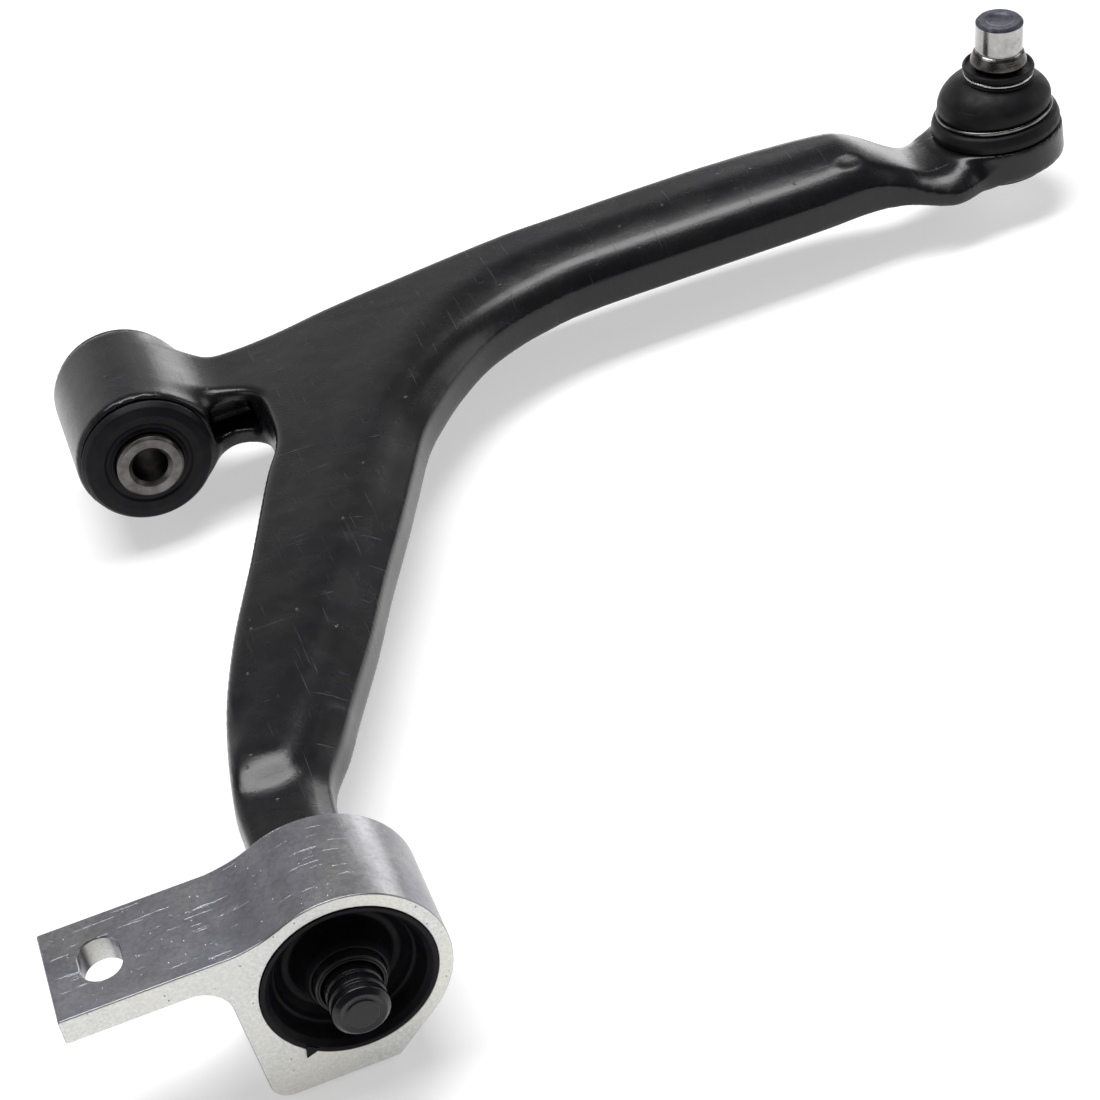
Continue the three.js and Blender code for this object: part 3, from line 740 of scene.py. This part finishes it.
def bracket():
    """The extrusion: a ring with a bolt ear to the left and a foot below."""
    ring, foot, ear_end = BRACKET_HIGH.x, BRACKET_LOW.z, BRACKET_LOW.x
    foot_right, foot_left, wall_top = 6.8, -29.2, -32.2
    tangent = math.atan2(foot, foot_right) + math.acos(ring / math.hypot(foot_right, foot))
    blend = math.radians(118)
    sweep = np.linspace(tangent, blend, 72)
    arc = np.column_stack([ring * np.cos(sweep), ring * np.sin(sweep)])
    tip = arc[-1]
    rise = through([tip, (-19.2, 23.6), (-26.5, 22.2), (-32, EAR_TOP)], 5)[1:]
    rest = rounded([(-40, EAR_TOP, 0), (ear_end, EAR_TOP, 0.7), (ear_end, EAR_UNDER, 0.7),
                    (wall_top, EAR_UNDER, 10), (foot_left, foot, 6), (foot_right, foot, 1.2),
                    (*arc[0], 0)], closed=False, step_degrees=8)[:-1]
    outline = np.vstack([arc, rise, rest])
    angles = -np.arange(128) * 2 * math.pi / 128
    bore = BRACKET_BORE * np.column_stack([np.cos(angles), np.sin(angles)])
    block = extruded("bracket_extrusion", [outline, bore], BRACKET_LOW.y, BRACKET_HIGH.y, 0.45, ALUMINIUM)
    return combine(block, slot_cutter(), "DIFFERENCE")


def slot_cutter():
    """An upright cutter for an oblong hole, flared where it leaves each face of the ear."""
    centre = (SLOT_LOW + SLOT_HIGH) / 2
    radius, straight, flare, past = 5.8, 2.45, 0.3, 3
    levels = [(EAR_UNDER - past, flare + past), (EAR_UNDER, flare), (EAR_UNDER + flare, 0),
              (EAR_TOP - flare, 0), (EAR_TOP, flare), (EAR_TOP + past, flare + past)]
    angles = np.radians(np.arange(0, 360, 6))
    points, faces = [], []
    for height, wider in levels:
        for a in angles:
            side = straight if math.sin(a) > -1e-6 else -straight
            reach = radius + wider
            points.append((centre.x + reach * math.cos(a), centre.y + side + reach * math.sin(a), height))
    count = len(angles)
    for row in range(len(levels) - 1):
        for i in range(count):
            a, b = row * count + i, row * count + (i + 1) % count
            faces.append((a, b, b + count, a + count))
    faces.append(tuple(range(count)))
    faces.append(tuple(range((len(levels) - 1) * count, len(levels) * count)))
    return make_piece("slot_cutter", points, faces, ALUMINIUM, 30)


def rear_bush_rubber():
    """The dished rubber, whose lips cover the ends of the outer sleeve."""
    front, rear = BRACKET_HIGH.y, BRACKET_LOW.y
    outer, inner = BRACKET_BORE - 0.15, extent("rear_bush_inner_sleeve")[1].x + 0.25
    shell = BRACKET_BORE - 2.0
    near = [(shell, rear + 0.55, 0), (outer, rear + 0.5, 0), (outer, rear - 0.25, 0.3),
            (outer - 1.3, rear - 0.2, 0.6), (outer - 2.8, rear + 1.6, 1.0), (20.2, rear + 6.2, 1.2),
            (19.4, rear + 6.6, 0.5), (18.6, rear + 8.0, 1.0), (16.6, rear + 10.3, 1.6),
            (14.4, rear + 10.3, 1.2), (13.2, rear + 7.0, 1.0), (12.0, rear + 2.4, 1.0),
            (inner + 0.7, rear + 0.4, 0.5), (inner, rear + 0.6, 0.2)]
    far = [(r, front + rear - h, c) for r, h, c in reversed(near)]
    bush = turned("rear_bush_elastomer", near + far, ALONG_PIVOT, BUSH_RUBBER, 128)
    return combine(bush, locating_tab(rear, outer), "UNION")


def locating_tab(rear, outer):
    """A small moulded triangle over the bore's edge, at the lower left."""
    angle, half, reach = math.radians(230), math.radians(3.6), 2.6
    inside, tip = outer - 1.2, outer + reach
    flat = [(inside * math.cos(angle - half * 1.3), inside * math.sin(angle - half * 1.3)),
            (outer * math.cos(angle - half), outer * math.sin(angle - half)),
            (tip * math.cos(angle), tip * math.sin(angle)),
            (outer * math.cos(angle + half), outer * math.sin(angle + half)),
            (inside * math.cos(angle + half * 1.3), inside * math.sin(angle + half * 1.3))]
    points = [(x, rear - 0.75, z) for x, z in flat] + [(x, rear - 0.05, z) for x, z in flat]
    count = len(flat)
    faces = [(i, (i + 1) % count, (i + 1) % count + count, i + count) for i in range(count)]
    faces += [tuple(range(count)), tuple(range(count, 2 * count))]
    return make_piece("locating_tab", points, faces, BUSH_RUBBER, 30)


def rear_bush_sleeve():
    """The inner sleeve, whose end shows as two rubbed lips round the spigot."""
    low, high = extent("rear_bush_inner_sleeve")
    radius, rear, front, bore = high.x, low.y, high.y, 8.5
    corners = [(bore, rear + 0.5, 0.3), (bore + 0.35, rear, 0.25), (bore + 0.75, rear, 0.2),
               (bore + 0.85, rear + 0.7, 0.15), (radius - 0.75, rear + 0.7, 0.15),
               (radius - 0.6, rear + 0.1, 0.2), (radius, rear + 0.7, 0.4), (radius, front, 0.4),
               (bore, front, 0.4)]
    return turned("rear_bush_sleeve", corners, ALONG_PIVOT, DARK_STEEL, 96)


def stop_washer():
    low, high = extent("rear_stop_washer")
    bore = 8.5
    corners = [(bore, low.y, 0.2), (high.x, low.y, 0.5), (high.x, high.y, 0.5), (bore, high.y, 0.2)]
    return turned("stop_washer", corners, ALONG_PIVOT, RING_STEEL, 96)


# ---- ball joint -------------------------------------------------------------------------------
# Heights are above the ball's centre, along the housing's axis or the stud's own.


def housing():
    """The pressed-in cartridge, its lower rim rolled over the cover."""
    barrel, flange = BOSS_BORE - GAP, HOUSING_HIGH.x - BALL.x
    under_flange = BOSS_TOP - BALL.z + GAP
    boss_under = BOSS_BOTTOM - BALL.z
    over_flange, cavity_top, rolled_rim = under_flange + 1.8, HOUSING_TOP - 2.1, COVER_LEVEL - 2.1
    rim, collar, mouth, cavity, seat = 15.6, 19, 11.9, 14.9, 17.2
    corners = [(rim, HOUSING_BOTTOM + 0.3, 0.3), (18.2, HOUSING_BOTTOM, 0.8),
               (19.4, HOUSING_BOTTOM + 0.3, 0.6), (20.9, boss_under, 0.4), (barrel, boss_under + 0.8, 0.3),
               (barrel, under_flange, 0.1), (flange, under_flange, 0.3), (flange, over_flange, 0.4),
               (collar, over_flange, 0.4), (collar, HOUSING_TOP, 0.8), (mouth, HOUSING_TOP, 1.0),
               (mouth, cavity_top, 0.4), (cavity, cavity_top, 0.2), (cavity, COVER_LEVEL + GAP, 0.2),
               (seat, COVER_LEVEL + GAP, 0.1), (seat, rolled_rim, 0.2), (rim, rolled_rim, 0.1)]
    return turned("ball_joint_cartridge", corners, HOUSING_FRAME, DARK_STEEL, 128)


def cover():
    """The pressed cover plate, dished in the middle."""
    under = extent("ball_joint_cover")[0].z - BALL.z
    corners = [(0, under + 0.7, 0), (6.5, under + 0.7, 1.2), (8.2, under, 1.0), (13.2, under, 0.8),
               (14.2, under + 0.35, 0.4), (16.9, under + 0.35, 0.2), (16.9, COVER_LEVEL, 0.2),
               (8.6, COVER_LEVEL, 0.8), (7, COVER_LEVEL - 0.1, 0.5), (0, COVER_LEVEL - 0.1, 0)]
    return turned("ball_joint_cap", corners, HOUSING_FRAME, RING_STEEL, 96, closed=False)


def ball_stud():
    """The ball, its shank, the shoulder, darkened in its material as painted shade, and the head that the pinch
    bolt holds.
    """
    ball, top = 11.5, 47.5
    sphere = [(ball * math.cos(a), ball * math.sin(a), 0)
              for a in np.radians(np.linspace(-48.4, 55.6, 26))]
    corners = [(0, -8.0, 0), (3, -8.0, 0.6), (4, -8.6, 0.6), *sphere, (6.6, 12.4, 1.5), (8.3, 17.4, 2),
               (8.3, 28.6, 0.8), (10.0, 29.4, 0.5), (10.8, 30.4, 0.5), (10.5, 31.6, 0.8),
               (9.6, 34.2, 0.9), (8.7, 35.0, 0.3), (8.2, 35.2, 0.2), (8.2, 35.9, 0.15), (9.0, 36.05, 0.25),
               (9.0, top - 1.0, 0.25), (8.1, top, 0.3), (5.6, top, 0.5), (4.4, top - 0.5, 0.8),
               (1.2, top - 0.65, 0.4), (0, top - 0.65, 0)]
    return turned("ball_stud_turned", corners, STUD_FRAME, STUD_STEEL, 128, closed=False, crisp=30)


# The dome's outside, from its foot in the fold to the collar, with the level where it is split.
DOME = through([(20.7, 10.4), (21.6, 12.2), (21.6, 14.6), (20.6, 17.4), (18.4, 20.2), (15.6, 22.3),
                (12.9, 23.6)], 5)
SPLIT = 17.4
WALL = 1.6


def leaning(points):
    """Turns the upper part of an upright piece over with the stud."""
    points = np.asarray(points, float)
    upright = Vector((0, 0, 1))
    axis = upright.cross(STUD_AXIS).normalized()
    angle = upright.angle(STUD_AXIS) * smooth_step(points[:, 2], 10.6, 22.7)
    k = np.array(axis)
    cos, sin = np.cos(angle)[:, None], np.sin(angle)[:, None]
    return points * cos + np.cross(k, points) * sin + k * (points @ k)[:, None] * (1 - cos)


def boot_shell(name, outside, thickness):
    """A closed shell from its outside profile and its wall's thickness."""
    along = np.gradient(outside, axis=0)
    normal = np.column_stack([along[:, 1], -along[:, 0]])
    normal /= np.linalg.norm(normal, axis=1, keepdims=True)
    inside = outside - normal * thickness
    points, faces = lathe(np.vstack([outside, inside[::-1]]), 128)
    return make_piece(name, moved(leaning(points), HOUSING_FRAME), faces, BOOT_RUBBER, 50)


def boot():
    """The boot in three pieces: its bead, the lower part of the dome and the upper part."""
    base = BOOT_BASE
    bead = [(23.5, base, 0.2), (24.3, base, 0.4), (24.7, base + 2.4, 2.5), (23.6, base + 5.5, 2.2),
            (21.4, base + 6.3, 0.6), (20.5, base + 6.7, 0.3), (20.5, base + 7.9, 0.3),
            (19.3, base + 7.9, 0.2), (19.3, base + 2.4, 0.2), (23.5, base + 2.4, 0.2)]
    foot = turned("boot_bead", bead, HOUSING_FRAME, BOOT_RUBBER, 128)
    lap = 0.8
    lower = DOME[DOME[:, 1] <= SPLIT + 0.01]
    upper = DOME[DOME[:, 1] >= SPLIT - 0.01]
    join = (upper[1] - upper[0]) / np.linalg.norm(upper[1] - upper[0])
    tongue = np.array([upper[0] + join * 0.15 - (0.3, 0.05), upper[0] + join * lap - (0.3, 0.05)])
    skirt = boot_shell("boot_dome_lower", np.vstack([lower, tongue]), WALL)
    cap = boot_shell("boot_dome_upper", upper, WALL)
    return foot, skirt, cap


def boot_ring():
    """The flat wire ring in the boot's fold."""
    low, high = extent("boot_lower_ring")
    radius, height = (high.x - low.x) / 2 - 0.8, (low.z + high.z) / 2 - BALL.z
    section = [(radius - 0.8, height - 0.75, 0.5), (radius + 0.55, height - 0.75, 0.5),
               (radius + 0.75, height + 0.75, 0.6), (radius - 0.8, height + 0.75, 0.5)]
    return turned("boot_fold_ring", section, HOUSING_FRAME, FOLD_STEEL, 128)


def boot_collar():
    """The cup at the top of the boot, its lip spread round the stud's shoulder."""
    corners = [(10.3, 20.6, 0.2), (10.9, 20.6, 0.2), (11.2, 23.2, 0.8), (13.4, 23.9, 0.5),
               (13.5, 24.6, 0.3), (12.1, 24.9, 0.3), (12.0, 26.1, 0.3), (13.2, 26.5, 0.5),
               (13.7, 28.1, 0.5), (13.3, 28.9, 0.4), (12.5, 28.9, 0.4), (11.9, 28.2, 0.4),
               (9.6, 28.0, 0.4), (8.8, 27.6, 0.3), (8.7, 24.8, 0.1), (10.3, 24.8, 0.1)]
    return turned("boot_cup", corners, STUD_FRAME, BOOT_RUBBER, 128)


def boot_top_ring():
    corners = [(12.2, 25.0, 0.3), (13.2, 25.0, 0.4), (13.3, 26.0, 0.4), (12.2, 26.1, 0.3)]
    return turned("boot_cup_ring", corners, STUD_FRAME, RING_STEEL, 128)


# ---- camera, light and floor ------------------------------------------------------------------


def camera():
    """The viewpoint: above and behind the rear bush, looking out along the arm."""
    data = bpy.data.cameras.new("camera")
    data.sensor_width = 36
    data.lens = 86.7
    data.clip_start, data.clip_end = 0.05, 50
    seen_from = bpy.data.objects.new("camera", data)
    seen_from.location = PIVOT + Vector((-17.9, -840.3, 496.7)) * MM
    seen_from.rotation_euler = [math.radians(a) for a in (53.587, 10.782, -18.435)]
    bpy.context.scene.collection.objects.link(seen_from)
    bpy.context.scene.camera = seen_from


def softbox(name, place, size, power):
    """An area light at a place in metres from the object's middle, aimed at it."""
    data = bpy.data.lights.new(name, "AREA")
    data.shape = "RECTANGLE"
    data.size, data.size_y = size
    data.energy = power
    lamp = bpy.data.objects.new(name, data)
    lamp.location = Vector(place)
    lamp.rotation_euler = (-Vector(place)).to_track_quat("-Z", "Y").to_euler()
    bpy.context.scene.collection.objects.link(lamp)


def studio():
    """A light tent: a long lamp overhead, one at each side, a white backdrop and a dark front."""
    softbox("overhead", (0.0, 0.32, 1.42), (1.5, 0.65), 32)
    softbox("left", (-1.4, 0.0, 0.5), (0.8, 0.8), 3)
    softbox("right", (1.4, 0.0, 0.5), (0.8, 0.8), 4)
    softbox("back_right", (0.95, 1.5, 0.24), (0.9, 0.55), 5.5)
    softbox("front", (-0.1, -1.7, 0.3), (1.2, 0.4), 1.2)
    world = bpy.data.worlds.new("studio")
    world.use_nodes = True
    nodes, links = world.node_tree.nodes, world.node_tree.links
    shown, lighting = nodes["Background"], nodes.new("ShaderNodeBackground")
    shown.inputs["Color"].default_value = (0.93, 0.93, 0.94, 1)
    direction = nodes.new("ShaderNodeSeparateXYZ")
    links.new(nodes.new("ShaderNodeTexCoord").outputs["Generated"], direction.inputs[0])
    backdrop = nodes.new("ShaderNodeValToRGB")
    links.new(direction.outputs["Z"], backdrop.inputs[0])
    stops = backdrop.color_ramp.elements
    stops[0].color, stops[1].color = (1, 1, 1, 1), (0.03, 0.03, 0.03, 1)
    for at, strength in ((0.3, 0.95), (0.43, 0.85), (0.5, 0.55), (0.57, 0.15), (0.63, 0.03)):
        stops.new(at).color = (strength, strength, strength, 1)
    behind = nodes.new("ShaderNodeMapRange")
    links.new(direction.outputs["Y"], behind.inputs["Value"])
    for socket, value in (("From Min", 0.4), ("From Max", 0.78), ("To Min", 0.0), ("To Max", 1.0)):
        behind.inputs[socket].default_value = value
    blend = nodes.new("ShaderNodeMix")
    blend.data_type = "RGBA"
    links.new(behind.outputs[0], blend.inputs[0])
    blend.inputs[6].default_value = (0.13, 0.13, 0.13, 1)
    links.new(backdrop.outputs[0], blend.inputs[7])
    links.new(blend.outputs[2], lighting.inputs["Color"])
    chooser, ray = nodes.new("ShaderNodeMixShader"), nodes.new("ShaderNodeLightPath")
    links.new(ray.outputs["Is Camera Ray"], chooser.inputs[0])
    links.new(lighting.outputs[0], chooser.inputs[1])
    links.new(shown.outputs[0], chooser.inputs[2])
    links.new(chooser.outputs[0], nodes["World Output"].inputs["Surface"])
    bpy.context.scene.world = world
    bpy.context.scene.view_settings.view_transform = "Standard"


def floor():
    """A plain pale floor just under the part."""
    look = Look("floor_paper", Roughness=0.85, Specular_IOR_Level=0.2)
    look.shader.inputs["Base Color"].default_value = (0.56, 0.56, 0.56, 1)
    look.shader.inputs["Emission Color"].default_value = (1, 1, 1, 1)
    look.shader.inputs["Emission Strength"].default_value = 0.46
    size, level = 6.0, CAD_BOX[0].z - 0.0006
    corners = [(-size, -size, level), (size, -size, level), (size, size, level), (-size, size, level)]
    mesh = bpy.data.meshes.new("floor")
    mesh.from_pydata(corners, [], [(0, 1, 2, 3)])
    mesh.materials.append(look.material)
    sheet = bpy.data.objects.new("floor", mesh)
    bpy.context.scene.collection.objects.link(sheet)


# ---- assembly ---------------------------------------------------------------------------------


def place(piece, body, slot, *nodes):
    """Rides a piece on a body, in place of CAD nodes. Its slot argument is not used."""
    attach(piece, body)
    finish_piece(piece)
    if nodes:
        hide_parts(*nodes)


def finish_piece(piece):
    """Keeps a piece's flats flat beside small rounded edges."""
    piece.modifiers.new("flats", "WEIGHTED_NORMAL").keep_sharp = True


camera()
studio()
floor()

place(cast_arm(), "arm", "cast_arm", "arm_body")
place(front_bush_rubber(), "arm", "bush_rubber", "front_bush_rubber")
place(front_bush_sleeve(), "front_sleeve", "sleeve_steel", "front_bush_inner_sleeve")
place(bracket(), "bracket", "bracket_aluminium", "rear_bracket")
place(rear_bush_rubber(), "bracket", "bush_rubber", "rear_bush_rubber")
place(rear_bush_sleeve(), "arm", "dark_steel", "rear_bush_inner_sleeve")
place(stop_washer(), "arm", "ring_steel", "rear_stop_washer")
place(housing(), "arm", "dark_steel", "ball_joint_housing")
place(cover(), "arm", "ring_steel", "ball_joint_cover")
place(ball_stud(), "stud", "stud_steel", "ball_stud")
place(boot_ring(), "arm", "ring_steel", "boot_lower_ring")
place(boot_collar(), "boot_top", "boot_rubber", "boot_collar")
place(boot_top_ring(), "boot_top", "ring_steel", "boot_upper_ring")

bead, skirt, cap = boot()
place(bead, "arm", "boot_rubber", "boot")
for part, lower_body, upper_body, start, stop in (
    (skirt, "arm", "boot_waist", 10.4, SPLIT - 0.6),
    (cap, "boot_waist", "boot_top", SPLIT + 0.6, 23.4),
):
    finish_piece(part)
    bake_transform(part)

for node, finish in (("front_bush_outer_sleeve", DARK_STEEL), ("rear_bush_outer_sleeve", DARK_STEEL),
                     ("ball_race", NYLON), ("race_preload_ring", BUSH_RUBBER),
                     ("boot_collar_insert", NYLON)):
    frame["nodes"][node].data.materials.clear()
    frame["nodes"][node].data.materials.append(finish)
